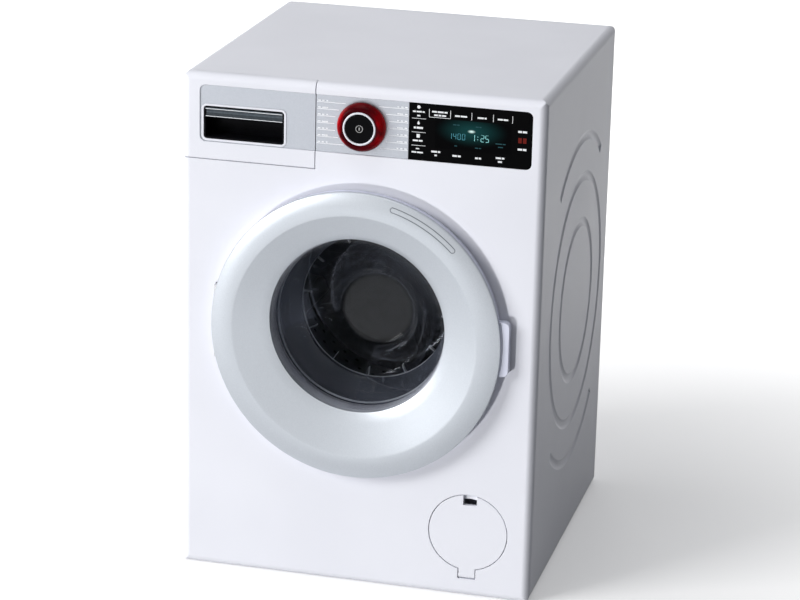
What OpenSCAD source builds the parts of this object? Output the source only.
// Toy washing machine, front loading, with a porthole door, a drum on a gear train, a detergent
// drawer, a programme knob with a start button in it, and a round filter flap.
// Millimetres, +Z up, front towards -Y. The origin lies under the middle of the toy, on the ground.
// Modules are drawn with y counted back from the housing's front face, and place() shifts them.

/* [Housing] */
// Width of the housing
body_w = 183; // [179:1:190]
// Height of the housing
body_h = 260; // [259:1:270]
// Depth of the housing without the door
body_d = 178; // [176:1:188]
// Wall thickness of the white mouldings
wall = 2.4; // [2:0.1:2.8]
// Rounding of the outer edges
edge_r = 4; // [3:0.5:5]
// Depth of the front moulding's rim
front_rim = 12; // [11:0.5:14]
// Depth of the rear moulding's rim
rear_rim = 8; // [7:0.5:10]
// Length of the lip that enters the sleeve
lip_l = 3; // [2:0.5:5]
// Visible gap between moulded pieces that move
seam = 0.4; // [0.3:0.05:0.6]

/* [Side panels] */
// Radius of the inner full ring pressed into each side
ring_small_r = 41; // [36:0.5:45]
// Radius of the outer full ring
ring_large_r = 65; // [60:0.5:70]
// Radius of the broken outermost ring
ring_outer_r = 86; // [78:0.5:90]
// Angle that each arc of the broken ring spans
ring_outer_span = 76; // [60:1:84]
// Width of a pressed ring
ring_w = 5; // [3:0.5:7]
// Depth of a pressed ring
ring_deep = 0.9; // [0.5:0.1:1.2]

/* [Door] */
// How far the door's centre lies below the housing's top
door_drop = 125.8; // [124:0.2:128]
// Outer radius of the door
door_r = 74; // [71:0.5:75]
// Width of the rounded band outside the silver ring's ridge
band_w = 11.5; // [10:0.5:14]
// Width of the dished face between the ridge and the round hole
funnel_w = 17.6; // [16:0.1:19]
// How far the hole's centre, and the drum's axis, lie above the door's centre
hole_rise = 4.2; // [3:0.1:4.6]
// How far the silver ring's outer edge stands in front of the housing
door_proud = 7; // [6.6:0.1:8]
// How far the ridge stands in front of that edge
crest_proud = 2.3; // [1.5:0.1:3]
// How far the hole's edge lies behind the ridge
hole_sink = 6.2; // [5.8:0.1:6.6]
// Rounding of the band outside the ridge
band_round = 20; // [14:1:40]
// Thickness of the silver ring
ring_t = 1.4; // [1.2:0.1:1.6]
// Gap between the closed door and the housing
door_gap = 0.6; // [0.5:0.1:0.9]
// Thickness of the door's white shell
shell_t = 1.6; // [1.4:0.1:1.6]
// Depth of the clear bowl behind the housing's front
bowl_deep = 41; // [34:0.5:44]
// Radius of the bowl's flat end
bowl_end_r = 18.8; // [14:0.2:24]
// Drop of the flat end's centre below the hole's centre
bowl_drop = 3.6; // [0:0.1:5]
// Thickness of the clear bowl
bowl_t = 1.2; // [1:0.1:1.5]
// Depth of the dark bezel's collar behind the housing's front
bezel_deep = 10; // [7:0.5:12]
// Height of the grip tab
grip_h = 28; // [24:0.5:34]
// How far the grip tab stands out from the door's edge
grip_out = 3.8; // [3:0.1:5]

/* [Hinge and latch] */
// Radius of the hinge pin
pin_r = 0.8; // [0.7:0.05:0.9]
// Radius of the barrel on the door
barrel_r = 1.9; // [1.7:0.05:1.9]
// Length of the barrel on the door
barrel_l = 27; // [20:0.5:32]
// Radius of the fixed lugs' eyes
lug_r = 1.5; // [1.4:0.05:1.6]
// Width of each fixed lug
lug_w = 5; // [4:0.5:6]
// Distance of the latch from the door's outer edge
latch_in = 7.8; // [7:0.2:10]
// Thickness of the latch's tongue
latch_t = 2.4; // [2:0.1:3]
// Height of the latch's tongue
latch_h = 8; // [6:0.5:10]

/* [Drum and tub] */
// Outer radius of the drum
drum_r = 62; // [58:0.5:63]
// Depth of the housing that the seal, the drive and the battery box take from the drum
drive_room = 105; // [102:0.5:112]
// Wall thickness of the drum
drum_t = 1.8; // [1.5:0.1:2.2]
// How much smaller the radius of the drum's mouth is than that of the door's hole
mouth_step = 6.4; // [4:0.1:9]
// Number of lifters in the drum
lifters = 3; // [3:1:5]
// Height of a lifter above the drum's wall
lifter_h = 12; // [8:0.5:15]
// Running gap between drum and tub
tub_gap = 3; // [2:0.5:4]
// Wall thickness of the tub
tub_t = 2; // [1.8:0.1:2.2]
// Radius of the drum's shaft
shaft_r = 3; // [2.5:0.1:3.4]

/* [Drive] */
// Pitch diameter for each gear tooth
gear_module = 1; // [0.9:0.05:1]
// Teeth on the drum's gear
drum_teeth = 72; // [60:6:72]
// Teeth on the idler's large wheel
idler_teeth = 42; // [36:1:44]
// Teeth on the motor's pinion and on the idler's small wheel
pinion_teeth = 12; // [12:1:14]
// Width of the drum's gear
gear_w = 5; // [4:0.5:5.5]
// Radius of the motor's can
motor_r = 12; // [10:0.5:13]
// Length of the motor's can
motor_l = 27; // [24:0.5:30]

/* [Controls] */
// Distance of the silver strip from the housing's left side
strip_left = 9.2; // [7.5:0.1:10]
// Gap line between the drawer and the control panel
split_x = -23.2; // [-24:0.1:-22]
// Line between the silver panel and the black display
display_x = 23.5; // [20:0.1:26]
// Distance of the display from the housing's right side
strip_right = 6.9; // [5.5:0.1:11.5]
// How far the silver strip's lower edge lies below the housing's top
strip_drop = 34.6; // [34:0.1:36]
// Height of the silver strip
strip_h = 28.6; // [28:0.1:30]
// Corner radius of the strip
strip_r = 3; // [2:0.5:4]
// How far the strip lies behind the white front
strip_sink = 0.5; // [0.3:0.1:0.7]
// Thickness of the strip's plates
strip_t = 1.2; // [1:0.1:1.4]
// Outer radius of the red knob
knob_r = 12.2; // [11.4:0.1:13]
// How far the knob stands in front of the housing
knob_proud = 5.4; // [4.6:0.1:7]
// Radius of the start button
button_r = 7.2; // [6.6:0.1:7.4]
// Travel of the start button
button_travel = 1.5; // [1:0.1:1.6]

/* [Drawer] */
// Height of the drawer's front
drawer_h = 43.3; // [42:0.1:45]
// Thickness of the drawer's front moulding
drawer_t = 4; // [3.6:0.1:4.6]
// Length of the drawer's tray
tray_l = 66; // [58:1:80]
// Distance of the finger recess from the silver strip's left end
grip_left = 1.9; // [1.7:0.1:6]
// Distance of the finger recess from the drawer's right edge
grip_right = 16; // [13:0.1:21]
// Distance of the finger recess from the silver strip's lower edge
grip_rise = 1.5; // [1.3:0.1:3]
// Height of the finger recess
grip_tall = 16.5; // [13:0.1:18]
// Depth of the finger recess
grip_deep = 11; // [9:0.5:14]
// Height of the bright bar across the recess
bar_h = 5.6; // [4:0.1:7]

/* [Filter flap] */
// Distance of the flap's centre from the housing's right side
flap_in = 32.3; // [29:0.1:36]
// Height of the flap's centre
flap_z = 34.8; // [34:0.1:38]
// Radius of the flap
flap_r = 20; // [18:0.1:21]
// Thickness of the flap
flap_t = 2; // [1.8:0.1:2.2]
// Width of the flap's hinge tab
tab_w = 8.4; // [6:0.1:10]
// Height of the flap's hinge axis
flap_hinge_z = 11.1; // [10.6:0.1:11.6]
// Depth of the pocket behind the flap
pocket_deep = 18; // [14:0.5:24]

/* [Battery and sound] */
// Diameter of one cell
cell_d = 26.2; // [25.4:0.1:26.2]
// Length of one cell
cell_l = 50; // [46:0.5:50]
// Radius of the loudspeaker
speaker_r = 20; // [16:0.5:22]

/* [Hidden] */
$fn = 96;
half_w = body_w / 2;
press = 0.02;
run_fit = 0.05;
slide_fit = 0.4;
screw_r = 1.2;
screw_head_r = 2.4;
screw_head_t = 1.6;
lip_t = 1.2;
lip_fit = 0.1;

// Door, from the front backwards
door_z = body_h - door_drop;
crest_r = door_r - band_w;
hole_r = crest_r - funnel_w;
latch_x = door_r - latch_in;
hole_z = door_z + hole_rise;
crest_y = -door_proud - crest_proud;
hole_y = crest_y + hole_sink;
ring_seat_y = hole_y + ring_t;
rim_back_y = -door_proud + 1.8;
shell_y = -door_gap;
plate_y = shell_y - shell_t;
shell_r = door_r - 0.4;
bezel_r = hole_r + 2;
spigot_r = bezel_r + 1.8;
spigot_y = 3;
port_r = spigot_r + 0.9;
bowl_r = hole_r - 0.6;
hinge_x = -door_r + barrel_r;
hinge_y = -3;
lug_z = barrel_l / 2 + 0.3;
screw_ring_r = (crest_r + door_r) / 2 - 2.2;
band_middle = band_centre();
proud_y = (band_middle[0] > crest_r) ? band_middle[1] - band_round : crest_y;
front_y = -(body_d + proud_y) / 2;

// Seal, drum and tub
seal_r = port_r + 0.4;
seal_t = 1.8;
mouth_r = hole_r - mouth_step;
drum_l = body_d - drive_room;
tub_y = 29;
drum_y = tub_y + 5;
drum_end = drum_y + drum_l;
tub_r = drum_r + tub_gap;
tub_out = tub_r + tub_t;
tub_back_y = drum_end + 4;
ear_r = 5;
ear_at = (tub_out + ear_r + 4) * cos(45);
hub_r = 10;
hub_y = drum_end - 7;
bush_r = shaft_r + 2.4;
boss_r = bush_r + 3;
boss_y = tub_back_y + 4.5;

// Gear train, with the drum's wheel, the stepped idler and the motor's pinion
pressure_angle = 25;
tooth_slack = 0.09;
addendum = 0.82 * gear_module;
dedendum = 1.05 * gear_module;
drum_gear_r = gear_module * drum_teeth / 2;
idler_r = gear_module * idler_teeth / 2;
pinion_r = gear_module * pinion_teeth / 2;
idler_angle = -30;
motor_angle = -60;
idler_x = (drum_gear_r + pinion_r) * cos(idler_angle);
idler_z = hole_z + (drum_gear_r + pinion_r) * sin(idler_angle);
motor_x = idler_x + (idler_r + pinion_r) * cos(motor_angle);
motor_z = idler_z + (idler_r + pinion_r) * sin(motor_angle);
gear_y = boss_y + 1;
wheel_y = gear_y + gear_w + 1;
wheel_w = 4;
bracket_y = wheel_y + wheel_w + 2.6;
bracket_t = 2.4;
idler_pin_r = 1.5;
motor_pin_r = 1.15;
post_r = 3.5;
post_reach = tub_r - post_r - 1;
posts = [for (a = [12, -56, -84]) [post_reach * cos(a), hole_z + post_reach * sin(a)]];

// Controls
strip_x0 = -half_w + strip_left;
strip_x1 = half_w - strip_right;
strip_z0 = body_h - strip_drop;
strip_z1 = strip_z0 + strip_h;
strip_back = strip_sink + strip_t;
strip_z = strip_z0 + strip_h / 2;
knob_x = (split_x + display_x) / 2;
knob_top_r = button_r + 1.5;
knob_bore = button_r + 1;
knob_stem_r = knob_bore + 1.4;
trim_y = -knob_proud + 2.8;
knob_foot = strip_sink - 0.3;
pad_y = wall + 1.6;
clip_y = pad_y + 0.3;
clip_t = 1.5;
board_y = 9.4;
board_t = 1.6;
board_x0 = knob_x - 16;
board_x1 = strip_x1 - 1;
board_z0 = strip_z0 + 1;
board_z1 = strip_z1 - 1;
led_x0 = display_x + 9;
led_x1 = strip_x1 - 9;
led_z0 = strip_z0 + 5;
led_z1 = strip_z1 - 5;
stem_end = clip_y - 1;
plunger_y = stem_end + button_travel + 0.3;

// Drawer
drawer_z0 = body_h - drawer_h;
grip_x0 = strip_x0 + grip_left;
grip_x1 = split_x - grip_right;
grip_z0 = strip_z0 + grip_rise;
grip_z1 = grip_z0 + grip_tall;
drawer_x1 = split_x - seam / 2;
bulkhead_y = drawer_t + seam;
tray_t = 1.4;
tray_x0 = -half_w + 6;
tray_x1 = split_x - 5;
tray_z0 = drawer_z0 + 3;
tray_z1 = strip_z1 - 7;
tray_end = drawer_t + tray_l;
housing_end = tray_end + 3;
cup_t = 0.9;
grip_rim = 1.1;

// Flap and its pocket
flap_x = half_w - flap_in;
flap_front = 0.1;
flap_hinge_y = flap_front + flap_t / 2 + 0.1;
flap_gap = 0.4;
pocket_r = flap_r - 2.5;
flap_pin_r = 0.65;
flap_barrel_r = flap_t / 2 + 0.1;

// Battery box, under the tub at the back
box_t = 1.6;
box_z0 = edge_r + 4;
cell_row = cell_d + 0.8;
box_half = cell_l + 4;
box_z1 = box_z0 + 2 * cell_row + 2 * box_t;
back_y = body_d - wall;
box_y = back_y - cell_d - 2.6;
cover_edge = 3;
cover_t = 1.6;
speaker_x = -38;
speaker_z = hole_z + tub_out + speaker_r - 14;
corner_x = half_w - 10;
corner_zs = [11, body_h - 11];

module place() {
    translate([0, front_y, 0]) children();
}

// A flat shape in X and Z, made solid from depth y0 to depth y1
module slab(y0, y1) {
    translate([0, y1, 0]) rotate([90, 0, 0]) linear_extrude(y1 - y0) children();
}

// A round bar along the depth
module rod(x, z, y0, y1, r) {
    translate([x, y0, z]) rotate([-90, 0, 0]) cylinder(h = y1 - y0, r = r);
}

module tube(x, z, y0, y1, r0, r1) {
    difference() {
        rod(x, z, y0, y1, r1);
        rod(x, z, y0 - 1, y1 + 1, r0);
    }
}

// A profile of radius and depth, turned round an axis that runs front to back
module turned(x, z) {
    translate([x, 0, z]) rotate([-90, 0, 0]) rotate_extrude() children();
}

// A round bar across the width
module axle(y, z, x0, x1, r) {
    translate([x0, y, z]) rotate([0, 90, 0]) cylinder(h = x1 - x0, r = r);
}

module block(x0, x1, y0, y1, z0, z1) {
    translate([x0, y0, z0]) cube([x1 - x0, y1 - y0, z1 - z0]);
}

module rect(x0, x1, z0, z1) {
    translate([x0, z0]) square([x1 - x0, z1 - z0]);
}

module rounded_rect(x0, x1, z0, z1, r) {
    rect(x0, x1, z0 + r, z1 - r);
    rect(x0 + r, x1 - r, z0, z1);
    for (x = [x0 + r, x1 - r], z = [z0 + r, z1 - r])
        translate([x, z]) circle(r);
}

// A flat bar of width w with round ends between two points
module link(p, q, w) {
    d = q - p;
    translate(p) rotate(atan2(d[1], d[0])) translate([0, -w / 2]) square([norm(d), w]);
    for (c = [p, q])
        translate(c) circle(w / 2 + 0.1);
}

// A pan head seated at the depth y, with its shank reaching forwards
module screw(x, z, y, length) {
    rod(x, z, y, y + screw_head_t, screw_head_r);
    rod(x, z, y - length, y, screw_r);
}

// Section of the housing in X and Z, drawn in by d
module section(d) {
    rounded_rect(-half_w + d, half_w - d, d, body_h - d, max(edge_r - d, 1));
}

// The whole outer form of the housing with its rounded edges
module body_form() {
    intersection() {
        slab(0, body_d) section(0);
        linear_extrude(body_h) rounded_rect(-half_w, half_w, 0, body_d, edge_r);
        translate([-half_w, 0, 0]) rotate([90, 0, 90]) linear_extrude(body_w)
            rounded_rect(0, body_d, 0, body_h, edge_r);
    }
}

module body_slice(y0, y1) {
    intersection() {
        body_form();
        block(-half_w, half_w, y0, y1, 0, body_h);
    }
}

// The lip of an end moulding that enters the sleeve
module lip(y0, y1) {
    slab(y0, y1) difference() {
        section(wall + lip_fit);
        section(wall + lip_t);
    }
}

// The silver strip's outline between two places across it
module strip_outline(x0, x1) {
    intersection() {
        rounded_rect(strip_x0, strip_x1, strip_z0, strip_z1, strip_r);
        rect(x0, x1, strip_z0, strip_z1);
    }
}

// The space in the front moulding that the drawer's front closes
module drawer_corner(d) {
    block(-half_w - 1, split_x + seam / 2 + d, -1, bulkhead_y + d, drawer_z0 - seam - d, body_h + 1);
}

// The finger recess, widened by d
module grip_outline(d) {
    rounded_rect(grip_x0 - d, grip_x1 + d, grip_z0 - d, grip_z1 + d, 1.6 + d);
}

module flap_outline(d) {
    translate([flap_x, flap_z]) circle(flap_r + d);
    rect(flap_x - tab_w / 2 - d, flap_x + tab_w / 2 + d, flap_hinge_z - flap_barrel_r - d, flap_z);
}

// Places of the tub's four screws
function ear_points() = [for (sx = [-1, 1], sz = [-1, 1]) [sx * ear_at, hole_z + sz * ear_at]];

module front_panel() color("whitesmoke") place() {
    difference() {
        union() {
            difference() {
                body_slice(0, front_rim);
                slab(wall, body_d) section(wall + lip_t);
            }
            lip(front_rim - 1, front_rim + lip_l);
            intersection() {
                body_form();
                drawer_corner(wall);
            }
            block(split_x, strip_x1 + 2, 1, pad_y, strip_z0 - 2, strip_z1 + 1);
            for (p = ear_points())
                rod(p[0], p[1], 1, tub_y, ear_r - 0.5);
            for (x = [board_x0 + 3, board_x1 - 3], z = [board_z0 + 3, board_z1 - 3])
                rod(x, z, 1, board_y, 2.2);
        }
        drawer_corner(0);
        block(tray_x0 - slide_fit, tray_x1 + slide_fit, 0, bulkhead_y + wall + 1,
            tray_z0 - slide_fit, tray_z1 + slide_fit);
        rod(0, hole_z, -1, wall + 1, port_r);
        slab(-1, strip_back) strip_outline(split_x - 1, strip_x1);
        rod(knob_x, strip_z, 0, pad_y + 1, knob_stem_r + run_fit);
        block(led_x0, led_x1, 0, pad_y + 1, led_z0, led_z1);
        slab(-1, wall + 1) flap_outline(flap_gap);
        axle(flap_hinge_y, flap_hinge_z, flap_x - tab_w / 2 - 4, flap_x + tab_w / 2 + 4, flap_pin_r + press);
        for (s = [-1, 1])
            block(hinge_x - lug_r - 0.3, hinge_x + barrel_r + 0.3, -1, wall + 1,
                door_z + min(s * (lug_z - 0.3), s * (lug_z + lug_w + 0.3)),
                door_z + max(s * (lug_z - 0.3), s * (lug_z + lug_w + 0.3)));
        block(latch_x - latch_t / 2 - 1.4, latch_x + latch_t / 2 + 1.6, -1, wall + 1,
            door_z - latch_h / 2 - 0.6, door_z + latch_h / 2 + 0.6);
        for (p = ear_points())
            rod(p[0], p[1], tub_y - 8, tub_y + 1, screw_r + press);
        for (x = [board_x0 + 3, board_x1 - 3], z = [board_z0 + 3, board_z1 - 3])
            rod(x, z, board_y - 4, board_y + 1, screw_r + press);
        for (p = hinge_screw_points())
            rod(p[0], p[1], wall - 1.4, wall + 1, screw_r + press);
    }
}

// A rounded groove along a circle or an arc round the middle of the right side
module side_groove(r, start, span) {
    tube_r = (ring_w ^ 2 / 4 + ring_deep ^ 2) / (2 * ring_deep);
    translate([half_w, (body_d + 10) / 2, body_h / 2 + 2]) rotate([90, 0, 90])
        rotate_extrude(start = start, angle = span) translate([r, tube_r - ring_deep]) circle(tube_r);
}

module side_rings() {
    side_groove(ring_small_r, 0, 360);
    side_groove(ring_large_r, 0, 360);
    for (middle = [90, 270])
        side_groove(ring_outer_r, middle - ring_outer_span / 2, ring_outer_span);
}

module cabinet_shell() color("whitesmoke") place() {
    y0 = front_rim;
    y1 = body_d - rear_rim;
    difference() {
        union() {
            difference() {
                body_slice(y0, y1);
                slab(y0 - 1, y1 + 1) section(wall);
            }
            for (s = [-1, 1], z = corner_zs) {
                rod(s * corner_x, z, y1 - 22, y1, 4.5);
                block(min(s * corner_x, s * (half_w - 1)), max(s * corner_x, s * (half_w - 1)),
                    y1 - 22, y1 - lip_l - 1, z - 1, z + 1);
            }
        }
        side_rings();
        mirror([1, 0, 0]) side_rings();
        for (s = [-1, 1], z = corner_zs)
            rod(s * corner_x, z, y1 - 14, y1 + 1, screw_r + press);
    }
}

module rear_panel() color("whitesmoke") place() {
    y0 = body_d - rear_rim;
    difference() {
        union() {
            difference() {
                body_slice(y0, body_d);
                slab(y0 - 1, back_y) section(wall + lip_t);
            }
            lip(y0 - lip_l, y0 + 1);
            for (s = [-1, 1], z = corner_zs)
                rod(s * corner_x, z, y0, body_d - 1, 4.5);
            tube(speaker_x, speaker_z, back_y - 5, back_y + 1, speaker_r + press, speaker_r + 1.6);
            rod(0, box_z1 + 5, back_y - 6, back_y + 1, 4);
        }
        block(-box_half, box_half, y0 - 1, body_d + 1, box_z0 + box_t, box_z1 - box_t);
        slab(body_d - cover_t, body_d + 1) cover_outline(0.2);
        rod(0, box_z1 + 5, back_y - 5, body_d + 1, screw_r + press);
        for (s = [-1, 1], z = corner_zs) {
            rod(s * corner_x, z, y0 - 1, body_d + 1, screw_r + 0.2);
            rod(s * corner_x, z, body_d - 3, body_d + 1, 3.4);
        }
        rod(speaker_x, speaker_z, back_y - 1, body_d + 1, 1.4);
        for (k = [1, 2, 3], a = [0 : 60 / k : 359])
            rod(speaker_x + k * 4.6 * cos(a), speaker_z + k * 4.6 * sin(a), back_y - 1, body_d + 1, 1.4);
    }
}

module control_fascia() color("silver") place() {
    difference() {
        slab(strip_sink, strip_back) strip_outline(drawer_x1 + seam, display_x);
        rod(knob_x, strip_z, 0, strip_back + 1, knob_stem_r + 0.2);
    }
}

module display_lens() color("black") place() {
    slab(strip_sink - 0.2, strip_back) strip_outline(display_x, strip_x1);
}

module circuit_board() color("darkgreen") place() {
    difference() {
        block(board_x0, board_x1, board_y, board_y + board_t, board_z0, board_z1);
        for (x = [board_x0 + 3, board_x1 - 3], z = [board_z0 + 3, board_z1 - 3])
            rod(x, z, board_y - 1, board_y + board_t + 1, screw_r + press);
    }
    for (x = [display_x + 6, display_x + 26])
        block(x, x + 12, board_y + board_t, board_y + board_t + 2, strip_z - 5, strip_z + 5);
}

module display_led() color("teal") place() {
    block(led_x0 + 1, led_x1 - 1, strip_back + 0.5, board_y, led_z0 + 1, led_z1 - 1);
}

module start_switch() color("dimgray") place() {
    block(knob_x - 3, knob_x + 3, plunger_y + 0.8, board_y, strip_z - 3, strip_z + 3);
    rod(knob_x, strip_z, plunger_y, plunger_y + 0.8, 1.6);
}

module board_screws() color("silver") place() {
    for (x = [board_x0 + 3, board_x1 - 3], z = [board_z0 + 3, board_z1 - 3])
        screw(x, z, board_y + board_t, board_t + 3.6);
}

// Rubber ring between the front and the tub, with a fold that lets the tub shake
module door_seal() color("dimgray") place() {
    flange_r = seal_r + seal_t;
    turned(0, hole_z) polygon([
        [seal_r, wall], [flange_r + 4, wall], [flange_r + 4, wall + seal_t], [flange_r, wall + seal_t],
        [flange_r, 12], [flange_r + 2.4, 15.5], [flange_r, 19], [flange_r, tub_y],
        [mouth_r + 6, tub_y], [mouth_r + 5, tub_y + 3], [mouth_r - 0.4, tub_y + 3],
        [mouth_r - 0.4, tub_y + 1.4], [seal_r - 3.6, 20.6], [seal_r, 19], [seal_r + 2.2, 15.5], [seal_r, 12]
    ]);
}

module tub_front() color("lightgray") place() {
    difference() {
        slab(tub_y, tub_y + 2) difference() {
            union() {
                translate([0, hole_z]) circle(tub_out);
                for (p = ear_points())
                    link([0, hole_z], p, 2 * ear_r);
            }
            translate([0, hole_z]) circle(mouth_r + 6.2);
        }
        for (p = ear_points())
            rod(p[0], p[1], tub_y - 1, tub_y + 3, screw_r + 0.2);
    }
}

module tub_rear() color("lightgray") place() {
    y0 = tub_y + 2;
    difference() {
        union() {
            rod(0, hole_z, y0, tub_back_y + tub_t, tub_out);
            slab(y0, y0 + 3) for (p = ear_points())
                link([0, hole_z], p, 2 * ear_r);
            rod(0, hole_z, tub_back_y, boss_y, boss_r);
            rod(idler_x, idler_z, tub_back_y, boss_y - 0.6, post_r);
            for (p = posts)
                rod(p[0], p[1], tub_back_y, bracket_y, post_r);
        }
        rod(0, hole_z, y0 - 1, tub_back_y, tub_r);
        rod(0, hole_z, tub_back_y - 1, boss_y + 1, bush_r + press);
        rod(idler_x, idler_z, tub_back_y + 0.6, boss_y, idler_pin_r + press);
        for (p = posts)
            rod(p[0], p[1], bracket_y - 10, bracket_y + 1, screw_r + press);
        for (p = ear_points())
            rod(p[0], p[1], y0 - 1, y0 + 4, screw_r + 0.2);
    }
}

module tub_screws() color("silver") place() {
    for (p = ear_points())
        screw(p[0], p[1], tub_y + 5, 12);
}

module drum_bearing() color("goldenrod") place() {
    difference() {
        union() {
            rod(0, hole_z, tub_back_y, boss_y, bush_r);
            rod(0, hole_z, tub_back_y - 1.2, tub_back_y, bush_r + 2);
        }
        rod(0, hole_z, tub_back_y - 2, boss_y + 1, shaft_r + run_fit);
    }
}

module gear_bracket() color("lightsteelblue") place() {
    idler = [idler_x, idler_z];
    motor = [motor_x, motor_z];
    difference() {
        slab(bracket_y, bracket_y + bracket_t) {
            for (pair = [[posts[0], idler], [posts[2], idler], [idler, motor],
                    [posts[1], motor], [posts[0], motor], [posts[1], posts[2]]])
                link(pair[0], pair[1], 8);
            translate(motor) circle(motor_r + 1);
        }
        rod(idler_x, idler_z, bracket_y - 1, bracket_y + bracket_t + 1, idler_pin_r + press);
        rod(motor_x, motor_z, bracket_y - 1, bracket_y + bracket_t + 1, 3 + press);
        for (p = posts)
            rod(p[0], p[1], bracket_y - 1, bracket_y + bracket_t + 1, screw_r + 0.2);
    }
}

module bracket_screws() color("silver") place() {
    for (p = posts)
        screw(p[0], p[1], bracket_y + bracket_t, bracket_t + 7);
}

module idler_shaft() color("silver") place() {
    rod(idler_x, idler_z, tub_back_y + 0.6, bracket_y + bracket_t, idler_pin_r);
}

module motor() color("silver") place() {
    y0 = bracket_y + bracket_t;
    difference() {
        union() {
            rod(motor_x, motor_z, y0, y0 + motor_l, motor_r);
            rod(motor_x, motor_z, bracket_y + 0.4, y0 + 1, 3);
            rod(motor_x, motor_z, y0, y0 + motor_l + 1.6, 4);
            for (s = [-1, 1])
                block(motor_x + s * 6.5 - 1.2, motor_x + s * 6.5 + 1.2, y0 + motor_l - 1, y0 + motor_l + 4,
                    motor_z - 0.3, motor_z + 0.3);
        }
        rod(motor_x, motor_z, bracket_y - 1, y0 + 6, motor_pin_r + run_fit);
    }
}

module battery_box() color("dimgray") place() {
    difference() {
        union() {
            block(-box_half - box_t, box_half + box_t, box_y - box_t, back_y, box_z0, box_z1);
            block(-box_half - box_t - 4, box_half + box_t + 4, back_y - 1.6, back_y, box_z0 + 4, box_z1 - 4);
        }
        block(-box_half, box_half, box_y, back_y + 1, box_z0 + box_t, box_z1 - box_t);
    }
}

// Four cells in two rows
module battery_cells() color("steelblue") place() {
    for (s = [-1, 1], row = [0, 1]) {
        z = box_z0 + box_t + cell_row * (row + 0.5);
        y = back_y - cell_d / 2 - 1;
        tip = (row == 0) ? 1 : -1;
        middle = s * (cell_l / 2 + 0.3);
        axle(y, z, middle - cell_l / 2 + (tip < 0 ? 1.6 : 0), middle + cell_l / 2 - (tip > 0 ? 1.6 : 0),
            cell_d / 2);
        axle(y, z, middle + tip * (cell_l / 2) - (tip > 0 ? 1.6 : 0),
            middle + tip * (cell_l / 2) + (tip < 0 ? 1.6 : 0), 3.2);
    }
}

module battery_contacts() color("silver") place() {
    for (s = [-1, 1], row = [0, 1]) {
        z = box_z0 + box_t + cell_row * (row + 0.5);
        y = back_y - cell_d / 2 - 1;
        end = s * box_half;
        block(min(end, end - s * 0.5), max(end, end - s * 0.5), y - 8, y + 8, z - 9, z + 9);
        axle(y, z, min(end - s * 0.5, s * (cell_l + 0.5)), max(end - s * 0.5, s * (cell_l + 0.5)), 4);
    }
}

module cover_outline(d) {
    rounded_rect(-box_half - cover_edge - d, box_half + cover_edge + d,
        box_z0 - cover_edge + box_t - d, box_z1 - box_t + cover_edge + d, 2);
    link([0, box_z1 - 4], [0, box_z1 + 5], 10 + 2 * d);
}

module battery_cover() color("whitesmoke") place() {
    difference() {
        slab(body_d - cover_t, body_d) cover_outline(0);
        rod(0, box_z1 + 5, back_y, body_d + 1, screw_r + 0.2);
        rod(0, box_z1 + 5, body_d - 0.65, body_d + 1, screw_head_r + 0.2);
        for (x = [-16 : 8 : 16])
            block(x - 1.5, x + 1.5, body_d - 0.8, body_d + 1, box_z0 + 8, box_z0 + 20);
    }
}

module cover_screw() color("silver") place() {
    rod(0, box_z1 + 5, body_d - 0.6, body_d - 0.1, screw_head_r);
    rod(0, box_z1 + 5, back_y - 4, body_d - 0.6, screw_r);
}

module rear_screws() color("silver") place() {
    for (s = [-1, 1], z = corner_zs)
        screw(s * corner_x, z, body_d - 3, 14);
}

module speaker() color("dimgray") place() {
    turned(speaker_x, speaker_z) polygon([
        [0, back_y - 18], [speaker_r / 2, back_y - 18], [speaker_r / 2, back_y - 11],
        [speaker_r, back_y - 4], [speaker_r, back_y], [speaker_r - 3, back_y],
        [speaker_r - 3, back_y - 2], [speaker_r / 3, back_y - 7], [0, back_y - 5]
    ]);
}

module drawer_housing() color("lightgray") place() {
    y0 = bulkhead_y + wall;
    t = 1.5;
    x0 = tray_x0 - slide_fit;
    x1 = tray_x1 + slide_fit;
    z0 = tray_z0 - slide_fit;
    z1 = tray_z1 + slide_fit;
    difference() {
        union() {
            block(x0 - t, x1 + t, y0, housing_end + t, z0 - t, z1 + t);
            block(x0 - t, x1 + t + 3, y0, y0 + 1.6, z0 - t - 3, z1 + t + 3);
        }
        block(x0, x1, y0 - 1, housing_end, z0, z1);
    }
}

// Places of the two screws on each side of a lug
function hinge_screw_points() = [for (s = [-1, 1], k = [9, 20]) [hinge_x + 7, door_z + s * k]];

module hinge_bracket() color("silver") place() {
    difference() {
        union() {
            slab(wall, wall + 1.4)
                rounded_rect(hinge_x - 3, hinge_x + 10, door_z - lug_z - lug_w - 5,
                    door_z + lug_z + lug_w + 5, 2);
            for (s = [-1, 1]) {
                z0 = door_z + min(s * lug_z, s * (lug_z + lug_w));
                block(hinge_x - lug_r, hinge_x + barrel_r, hinge_y, wall + 0.7, z0, z0 + lug_w);
                translate([hinge_x, hinge_y, z0]) cylinder(h = lug_w, r = lug_r);
            }
        }
        translate([hinge_x, hinge_y, door_z - 40]) cylinder(h = 80, r = pin_r + press);
        for (p = hinge_screw_points())
            rod(p[0], p[1], wall - 1, wall + 3, screw_r + 0.2);
    }
}

module hinge_pin() color("silver") place() {
    length = 2 * (lug_z + lug_w);
    translate([hinge_x, hinge_y, door_z - length / 2]) cylinder(h = length, r = pin_r);
}

module hinge_screws() color("silver") place() {
    for (p = hinge_screw_points())
        screw(p[0], p[1], wall + 1.4, 2.7);
}

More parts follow.
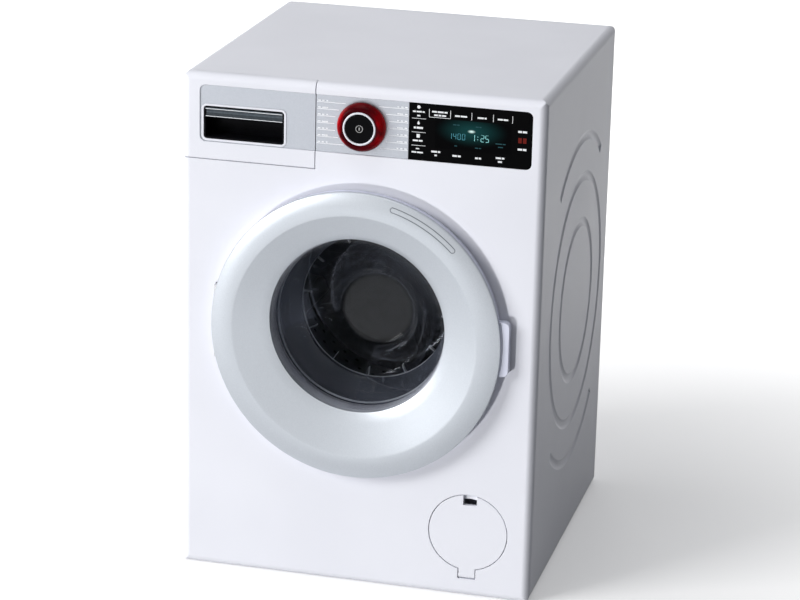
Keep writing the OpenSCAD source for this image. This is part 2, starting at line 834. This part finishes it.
// Sprung catch behind the slot, with two jaws beside the tongue
module latch_catch() color("white") place() {
    difference() {
        block(latch_x - 7, latch_x + 7, wall, wall + 10, door_z - latch_h / 2 - 4, door_z + latch_h / 2 + 4);
        block(latch_x - latch_t / 2 - 1.4, latch_x + latch_t / 2 + 1.6, wall - 1, wall + 8.4,
            door_z - latch_h / 2 - 0.6, door_z + latch_h / 2 + 0.6);
    }
    block(latch_x - latch_t / 2 - 1.5, latch_x - latch_t / 2 - 0.3, wall + 3, wall + 5,
        door_z - latch_h / 2 - 0.7, door_z + latch_h / 2 + 0.7);
}

module flap_pocket() color("gainsboro") place() {
    difference() {
        union() {
            rod(flap_x, flap_z, wall, wall + pocket_deep + 1.6, pocket_r + 1.6);
            rod(flap_x, flap_z, wall, wall + 1.6, flap_r + 3);
        }
        rod(flap_x, flap_z, wall - 1, wall + pocket_deep, pocket_r);
        block(flap_x - tab_w / 2 - 1, flap_x + tab_w / 2 + 1, wall - 1, wall + 1.7,
            flap_z - flap_r - 4, flap_hinge_z + 3);
    }
}

module flap_pin() color("silver") place() {
    axle(flap_hinge_y, flap_hinge_z, flap_x - tab_w / 2 - 4, flap_x + tab_w / 2 + 4, flap_pin_r);
}

module barrel(r, length) {
    translate([hinge_x, hinge_y, door_z - length / 2]) cylinder(h = length, r = r);
}

function door_screw_points() = [for (a = [30 : 60 : 330])
    [screw_ring_r * cos(a), door_z + screw_ring_r * sin(a)]];

// White back of the door, with the hinge's barrel and the grip tab
module door_shell() color("whitesmoke") place() {
    difference() {
        union() {
            difference() {
                union() {
                    rod(0, door_z, rim_back_y, shell_y, shell_r);
                    slab(rim_back_y + 0.2, shell_y - 0.3)
                        rounded_rect(door_r - 8, door_r + grip_out, door_z + 0.8 - grip_h / 2,
                            door_z + 0.8 + grip_h / 2, 3);
                }
                rod(0, door_z, rim_back_y - 1, plate_y, shell_r - 1.6);
            }
            rod(0, hole_z, plate_y, spigot_y, spigot_r);
            barrel(barrel_r, barrel_l);
        }
        rod(0, hole_z, plate_y - 2, spigot_y + 1, bezel_r + press);
        for (s = [-1, 1])
            block(-door_r - 1, hinge_x + barrel_r + 0.6, rim_back_y - 1, 0,
                door_z + min(s * barrel_l / 2, s * (lug_z + lug_w + 0.5)),
                door_z + max(s * barrel_l / 2, s * (lug_z + lug_w + 0.5)));
        barrel(pin_r + run_fit, 2 * barrel_l);
        for (p = door_screw_points()) {
            rod(p[0], p[1], plate_y - 1, shell_y + 1, 1.2);
            rod(p[0], p[1], shell_y - 0.8, shell_y + 1, 2.2);
        }
        block(latch_x - latch_t / 2 - press, latch_x + latch_t / 2 + press, plate_y - 1, 1,
            door_z - latch_h / 2 - press, door_z + latch_h / 2 + press);
    }
}

// Centre of the arc of the band between the ridge and the rim, in radius and depth
function band_centre() =
    let (p = [crest_r, crest_y], q = [door_r, -door_proud], d = q - p, n = [-d[1], d[0]] / norm(d))
    (p + q) / 2 + n * sqrt(band_round ^ 2 - (norm(d) / 2) ^ 2);

module band_arc(t) {
    intersection() {
        translate(band_middle) circle(band_round - t);
        translate([0, crest_y - 1]) square([door_r - t, 20]);
    }
}

// The dished front, which narrows to the hole above the door's centre
module funnel(t) {
    hull() {
        rod(0, door_z, crest_y - 2 + t, crest_y + t, crest_r / cos(180 / 64), $fn = 64);
        rod(0, hole_z, hole_y - 0.01 + t, hole_y + t, hole_r + t / 2, $fn = 64);
    }
}

module door_ring() color("silver") place() {
    difference() {
        turned(0, door_z) intersection() {
            union() {
                band_arc(0);
                translate([0, crest_y]) square([crest_r, 20]);
            }
            union() {
                translate([0, crest_y - 1]) square([shell_r - 2, ring_seat_y - crest_y + 1]);
                translate([0, crest_y - 1]) square([door_r, rim_back_y - crest_y + 1]);
            }
        }
        difference() {
            turned(0, door_z) intersection() {
                band_arc(ring_t);
                translate([0, crest_y]) square([door_r - ring_t, 10]);
            }
            funnel(ring_t);
            for (p = door_screw_points())
                rod(p[0], p[1], crest_y, plate_y, 2.4);
            rod(0, hole_z, crest_y, 2, hole_r + ring_t / 2);
        }
        funnel(0);
        rod(0, hole_z, crest_y - 1, 1, hole_r);
        block(-door_r - 1, hinge_x + barrel_r + 4, rim_back_y, 1, door_z - 24, door_z + 24);
        tube(0, hole_z, plate_y, 1, bezel_r - press, 2 * door_r);
        for (p = door_screw_points())
            rod(p[0], p[1], plate_y - 3.4, plate_y + 1, 0.9);
    }
}

module bowl_form(r0, r1, y0, y1) {
    hull() {
        rod(0, hole_z, y0, y0 + 0.01, r0, $fn = 64);
        rod(0, hole_z - bowl_drop, y1 - 0.6, y1, r1 - 0.6, $fn = 64);
        rod(0, hole_z - bowl_drop, y1 - 1.4, y1 - 0.6, r1, $fn = 64);
    }
}

// Clear bowl, clamped by its flange between the silver ring and the bezel
module door_window() color("lightcyan", 0.4) place() {
    difference() {
        union() {
            rod(0, hole_z, ring_seat_y, ring_seat_y + 1.2, bezel_r);
            bowl_form(bowl_r, bowl_end_r, ring_seat_y + 1.2, bowl_deep);
        }
        bowl_form(bowl_r - bowl_t, bowl_end_r - bowl_t * 0.4, ring_seat_y - 0.1, bowl_deep - bowl_t);
    }
}

// Dark collar that holds the bowl from behind
module window_bezel() color("dimgray") place() {
    tube(0, hole_z, ring_seat_y + 1.2, bezel_deep, hole_r, bezel_r);
    tube(0, hole_z, spigot_y, spigot_y + 1.4, bezel_r - 0.5, spigot_r);
}

module latch_hook() color("dimgray") place() {
    block(latch_x - latch_t / 2, latch_x + latch_t / 2, plate_y - 0.5, wall + 6,
        door_z - latch_h / 2, door_z + latch_h / 2);
    block(latch_x - latch_t / 2 - 2, latch_x + latch_t / 2 + 2, plate_y - 1.6, plate_y,
        door_z - latch_h / 2 - 2, door_z + latch_h / 2 + 2);
}

module door_screws() color("silver") place() {
    for (p = door_screw_points()) {
        rod(p[0], p[1], shell_y - 0.8, shell_y - 0.1, 2);
        rod(p[0], p[1], plate_y - 3, shell_y - 0.8, 0.88);
    }
}

module lifter() {
    top = drum_r - drum_t - lifter_h;
    foot = drum_r - drum_t + 0.8;
    slab(drum_y + 3, drum_end - 1) {
        polygon([[foot, -11], [top + 3, -5], [top + 3, 5], [foot, 11]]);
        translate([top + 3, 0]) rect(-3, 1, -2, 2);
        for (s = [-1, 1])
            translate([top + 3, s * 2]) circle(3);
    }
}

module drum() color("silver") place() {
    difference() {
        union() {
            turned(0, hole_z) {
                translate([drum_r - drum_t, drum_y]) square([drum_t, drum_l]);
                translate([mouth_r, drum_y]) square([drum_r - mouth_r, drum_t]);
                translate([mouth_r, drum_y - 0.6]) square([1.6, 3]);
                translate([0, drum_end - drum_t]) square([drum_r, drum_t]);
                translate([0, hub_y]) square([hub_r, drum_end - hub_y + 2]);
            }
            intersection() {
                translate([0, 0, hole_z]) for (k = [0 : lifters - 1])
                    rotate([0, k * 360 / lifters + 42, 0]) lifter();
                rod(0, hole_z, drum_y, drum_end, drum_r - 0.2);
            }
        }
        rod(0, hole_z, hub_y + 1.6, drum_end + 3, shaft_r + press);
    }
}

module drum_shaft() color("silver") place() {
    rod(0, hole_z, hub_y + 1.6, wheel_y + 3, shaft_r);
}

function roll(a) = tan(a) * 180 / PI - a;

// Polar angle of a tooth's flank, from the tooth's middle, at the radius r
function flank_angle(z, r) =
    let (pitch = gear_module * z / 2, base = pitch * cos(pressure_angle))
    90 / z - tooth_slack / pitch * 180 / PI + roll(pressure_angle) - roll(acos(min(1, base / r)));

// Involute wheel with z teeth, one of which points at the angle turn
module gear_outline(z, turn) {
    pitch = gear_module * z / 2;
    tip = pitch + addendum;
    root = pitch - dedendum;
    base = max(pitch * cos(pressure_angle), root);
    flank = [for (k = [0 : 3]) base + (tip - base) * k / 3];
    rotate(turn) polygon([for (tooth = [0 : z - 1]) let (middle = tooth * 360 / z) each concat(
        [root * [cos(middle - flank_angle(z, base)), sin(middle - flank_angle(z, base))]],
        [for (r = flank) r * [cos(middle - flank_angle(z, r)), sin(middle - flank_angle(z, r))]],
        [for (k = [3 : -1 : 0]) flank[k]
            * [cos(middle + flank_angle(z, flank[k])), sin(middle + flank_angle(z, flank[k]))]],
        [root * [cos(middle + flank_angle(z, base)), sin(middle + flank_angle(z, base))]]
    )]);
}

module wheel(x, z, y, w, teeth, turn) {
    slab(y, y + w) translate([x, z]) gear_outline(teeth, turn);
}

module drum_gear() color("white") place() {
    rim = drum_gear_r - dedendum - 3;
    difference() {
        union() {
            difference() {
                wheel(0, hole_z, gear_y, gear_w, drum_teeth, idler_angle);
                tube(0, hole_z, gear_y - 1, gear_y + 1.2, shaft_r + 5, rim);
                tube(0, hole_z, gear_y + gear_w - 1.2, gear_y + gear_w + 1, shaft_r + 5, rim);
            }
            rod(0, hole_z, gear_y - 0.6, gear_y + gear_w + 0.8, shaft_r + 4);
        }
        rod(0, hole_z, gear_y - 2, gear_y + gear_w + 2, shaft_r + press);
        for (a = [0 : 60 : 300])
            rod(0.62 * rim * cos(a), hole_z + 0.62 * rim * sin(a), gear_y - 1, gear_y + gear_w + 1,
                0.2 * rim);
    }
}

module shaft_clip() color("silver") place() {
    y = gear_y + gear_w + 0.9;
    tube(0, hole_z, y, y + 0.8, shaft_r + press, shaft_r + 2.4);
}

module idler_gear() color("ivory") place() {
    difference() {
        union() {
            wheel(idler_x, idler_z, gear_y - 0.4, gear_w + 1.5, pinion_teeth,
                idler_angle + 180 + 180 / pinion_teeth);
            wheel(idler_x, idler_z, wheel_y, wheel_w, idler_teeth, motor_angle);
            rod(idler_x, idler_z, wheel_y, wheel_y + wheel_w + 1.2, 4);
        }
        rod(idler_x, idler_z, boss_y - 1, bracket_y + 1, idler_pin_r + run_fit);
        for (a = [0 : 72 : 359])
            rod(idler_x + 0.62 * idler_r * cos(a), idler_z + 0.62 * idler_r * sin(a),
                wheel_y - 1, wheel_y + wheel_w + 1, 0.17 * idler_r);
    }
}

module motor_shaft() color("silver") place() {
    rod(motor_x, motor_z, wheel_y - 0.6, bracket_y + bracket_t + 5, motor_pin_r);
}

module motor_pinion() color("gold") place() {
    difference() {
        wheel(motor_x, motor_z, wheel_y - 0.4, wheel_w + 1, pinion_teeth,
            motor_angle + 180 + 180 / pinion_teeth);
        rod(motor_x, motor_z, wheel_y - 1, wheel_y + wheel_w + 1, motor_pin_r + press);
    }
}

// Red clear ring of the knob, pressed over the neck of its carrier
module programme_knob() color("crimson") place() {
    turned(knob_x, strip_z) {
        polygon([
            [knob_top_r + press, knob_foot], [knob_r, knob_foot], [knob_r, -0.9],
            [knob_r - 1.2, -knob_proud * 0.62], [knob_top_r + 0.5, -knob_proud + 0.4],
            [knob_top_r + press, -knob_proud + 0.4]
        ]);
    }
}

// Hollow stem that turns in the panel and carries the knob
module knob_carrier() color("silver") place() {
    turned(knob_x, strip_z) {
        polygon([
            [knob_bore, clip_y + clip_t], [knob_stem_r, clip_y + clip_t], [knob_stem_r, knob_foot],
            [knob_top_r, knob_foot], [knob_top_r, trim_y], [knob_bore, trim_y]
        ]);
    }
}

module knob_trim_ring() color("white") place() {
    tube(knob_x, strip_z, -knob_proud, trim_y, button_r + 0.15, knob_top_r);
}

module knob_clip() color("white") place() {
    tube(knob_x, strip_z, clip_y, clip_y + clip_t, knob_stem_r + press, knob_stem_r + 2);
}

module start_button() color("black") place() {
    rod(knob_x, strip_z, -knob_proud + 0.5, trim_y + 0.4, button_r);
    rod(knob_x, strip_z, trim_y + 0.3, trim_y + 1.4, knob_bore - 0.5);
    rod(knob_x, strip_z, trim_y + 1, stem_end, 2.4);
}

module drawer_front() color("whitesmoke") place() {
    difference() {
        intersection() {
            body_form();
            block(-half_w, drawer_x1, 0, drawer_t, drawer_z0, body_h);
        }
        slab(-1, strip_back) difference() {
            strip_outline(strip_x0, drawer_x1 + 1);
            grip_outline(grip_rim);
        }
        slab(-1, strip_sink - 0.2) strip_outline(strip_x0, drawer_x1 + 1);
        slab(-1, drawer_t + 1) grip_outline(press);
    }
}

module drawer_inlay() color("silver") place() {
    difference() {
        slab(strip_sink, strip_back) strip_outline(strip_x0, drawer_x1);
        slab(0, strip_back + 1) grip_outline(grip_rim + press);
    }
}

// Finger recess, a cup that opens through the drawer's front
module drawer_grip_cup() color("black") place() {
    difference() {
        slab(strip_sink, grip_deep + cup_t) grip_outline(0);
        slab(-1, grip_deep) grip_outline(-cup_t);
    }
}

module drawer_grip_bar() color("dimgray") place() {
    slab(0.2, 3.4) intersection() {
        grip_outline(-cup_t);
        rect(grip_x0, grip_x1, grip_z1 - cup_t - bar_h, grip_z1);
    }
}

module drawer_tray() color("gainsboro") place() {
    difference() {
        block(tray_x0, tray_x1, drawer_t, tray_end, tray_z0, tray_z1);
        difference() {
            block(tray_x0 + tray_t, tray_x1 - tray_t, drawer_t + tray_t, tray_end - tray_t,
                tray_z0 + tray_t, tray_z1 + 1);
            block(tray_x0, tray_x1, tray_end - 26, tray_end - 24.6, tray_z0, tray_z1 - 5);
        }
        slab(drawer_t - 1, drawer_t + tray_t + 1) grip_outline(press);
    }
}

module filter_flap() color("whitesmoke") place() {
    difference() {
        union() {
            rod(flap_x, flap_z, flap_front, flap_front + flap_t, flap_r);
            block(flap_x - tab_w / 2, flap_x + tab_w / 2, flap_front, flap_front + flap_t,
                flap_hinge_z, flap_z - flap_r + 3);
            axle(flap_hinge_y, flap_hinge_z, flap_x - tab_w / 2, flap_x + tab_w / 2, flap_barrel_r);
        }
        axle(flap_hinge_y, flap_hinge_z, flap_x - tab_w, flap_x + tab_w, flap_pin_r + run_fit);
        block(flap_x - 2.8, flap_x + 4.2, -1, flap_t + 1, flap_z + flap_r - 5.3, flap_z + flap_r + 1);
    }
}

front_panel();
cabinet_shell();
rear_panel();
control_fascia();
display_lens();
circuit_board();
display_led();
start_switch();
board_screws();
door_seal();
tub_front();
tub_rear();
tub_screws();
drum_bearing();
gear_bracket();
bracket_screws();
idler_shaft();
motor();
battery_box();
battery_cells();
battery_contacts();
battery_cover();
cover_screw();
rear_screws();
speaker();
drawer_housing();
hinge_bracket();
hinge_pin();
hinge_screws();
latch_catch();
flap_pocket();
flap_pin();
door_shell();
door_ring();
door_window();
window_bezel();
latch_hook();
door_screws();
drum();
drum_shaft();
drum_gear();
shaft_clip();
idler_gear();
motor_shaft();
motor_pinion();
programme_knob();
knob_carrier();
knob_trim_ring();
knob_clip();
start_button();
drawer_front();
drawer_inlay();
drawer_grip_cup();
drawer_grip_bar();
drawer_tray();
filter_flap();
